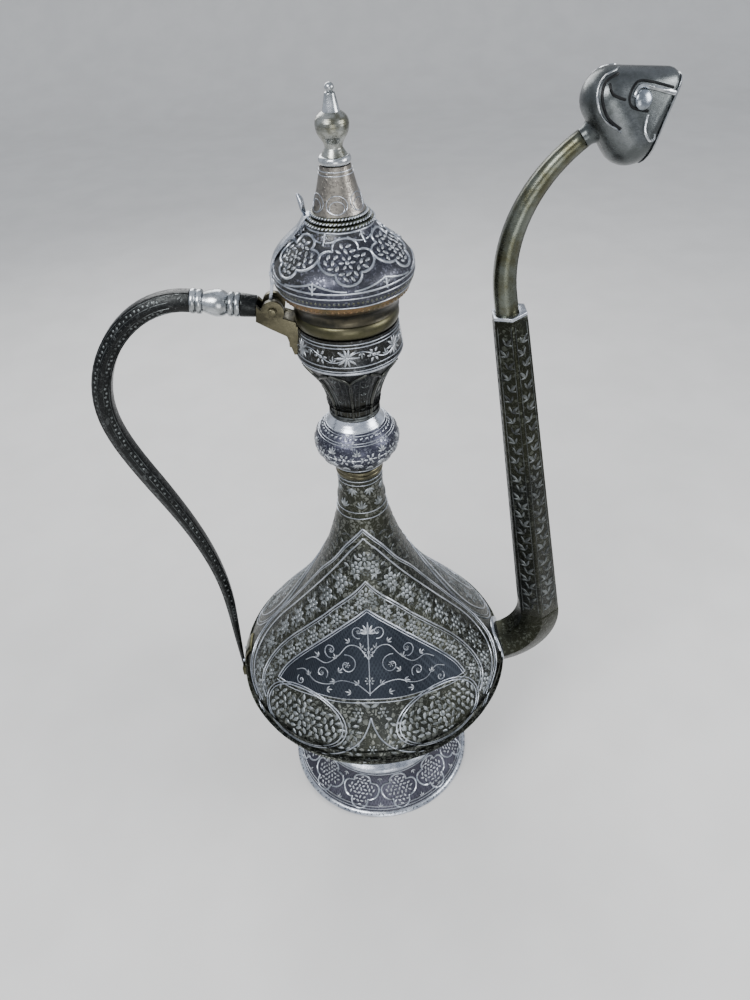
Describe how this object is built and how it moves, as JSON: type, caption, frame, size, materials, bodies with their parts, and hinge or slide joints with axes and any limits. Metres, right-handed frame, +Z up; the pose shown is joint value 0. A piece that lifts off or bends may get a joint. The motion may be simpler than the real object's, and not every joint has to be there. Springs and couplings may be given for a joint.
{
  "type": "coffee pot",
  "caption": "Tall engraved metal ewer with a round body on a flared foot, knopped neck, hinged domed lid, C-shaped handle and long upright spout with a hooded head",
  "frame": {"origin": "centre of the foot's resting ring on the table", "axes": "+X towards the spout, -X towards the handle, +Y across the pot, +Z up along the pot's axis"},
  "size_m": [0.3242, 0.204, 0.54],
  "materials": {
    "engraved_body": "blackened and tinned copper, engraved through to bright metal, satin",
    "engraved_foot": "bright tinned copper with dark recessed grounds, engraved, satin",
    "tinned_trim": "bright tinned metal, worn smooth",
    "polished_turnings": "turned and polished white metal",
    "engraved_knop": "tinned copper, polished above and engraved below",
    "dark_neck": "blackened copper with bright engraved lines, satin",
    "olive_patina": "patinated brass, dark olive, satin",
    "copper_band": "worn copper showing through the tinning",
    "black_bar": "blackened metal, satin",
    "engraved_spout": "blackened copper with fine engraving, satin",
    "polished_head": "blue-grey tinned copper, chased and polished",
    "engraved_lid": "tinned copper, engraved medallions on dark hatched grounds",
    "pewter_spire": "brownish tinned copper, lightly engraved"
  },
  "bodies": {
    "vessel": {"foot_rim": "tinned_trim", "foot_skirt": "engraved_foot", "foot_bead": "tinned_trim", "body_bowl": "engraved_body", "body_shell": "engraved_body", "neck_band": "copper_band", "neck_knop": "engraved_knop", "ribbed_neck": "dark_neck", "neck_ring": "tinned_trim", "engraved_collar": "dark_neck", "mouth_roll": "olive_patina", "hinge_bracket": "olive_patina", "bracket_rivets": "tinned_trim", "hinge_pin": "tinned_trim", "handle_socket": "black_bar", "handle_rings_inner": "polished_turnings", "handle_baluster": "polished_turnings", "handle_rings_outer": "polished_turnings", "handle_bar": "black_bar", "handle_foot_plate": "olive_patina", "handle_rivets": "tinned_trim", "spout_flange": "tinned_trim", "spout_elbow": "engraved_spout", "spout_shaft": "engraved_spout", "spout_step_cap": "tinned_trim", "spout_gooseneck": "engraved_spout", "spout_head": "polished_head", "spout_lip": "polished_head"},
    "lid": {"lid_sleeve": "olive_patina", "lid_edge": "olive_patina", "lid_band": "copper_band", "lid_flare": "engraved_lid", "lid_dome": "engraved_lid", "lid_spire_ring": "tinned_trim", "lid_spire": "pewter_spire", "finial_collar": "polished_turnings", "finial_bulb": "polished_turnings", "finial_tip": "polished_turnings", "finial_stud": "pewter_spire", "thumb_strap": "tinned_trim", "thumb_leaf": "tinned_trim", "lid_rivets": "tinned_trim"}
  },
  "joints": [
    {"name": "lid_hinge", "type": "hinge", "parent": "vessel", "child": "lid", "pos_m": [-0.041, 0, 0.429], "axis": [0, -1, 0], "range_deg": [0, 45]}
  ]
}
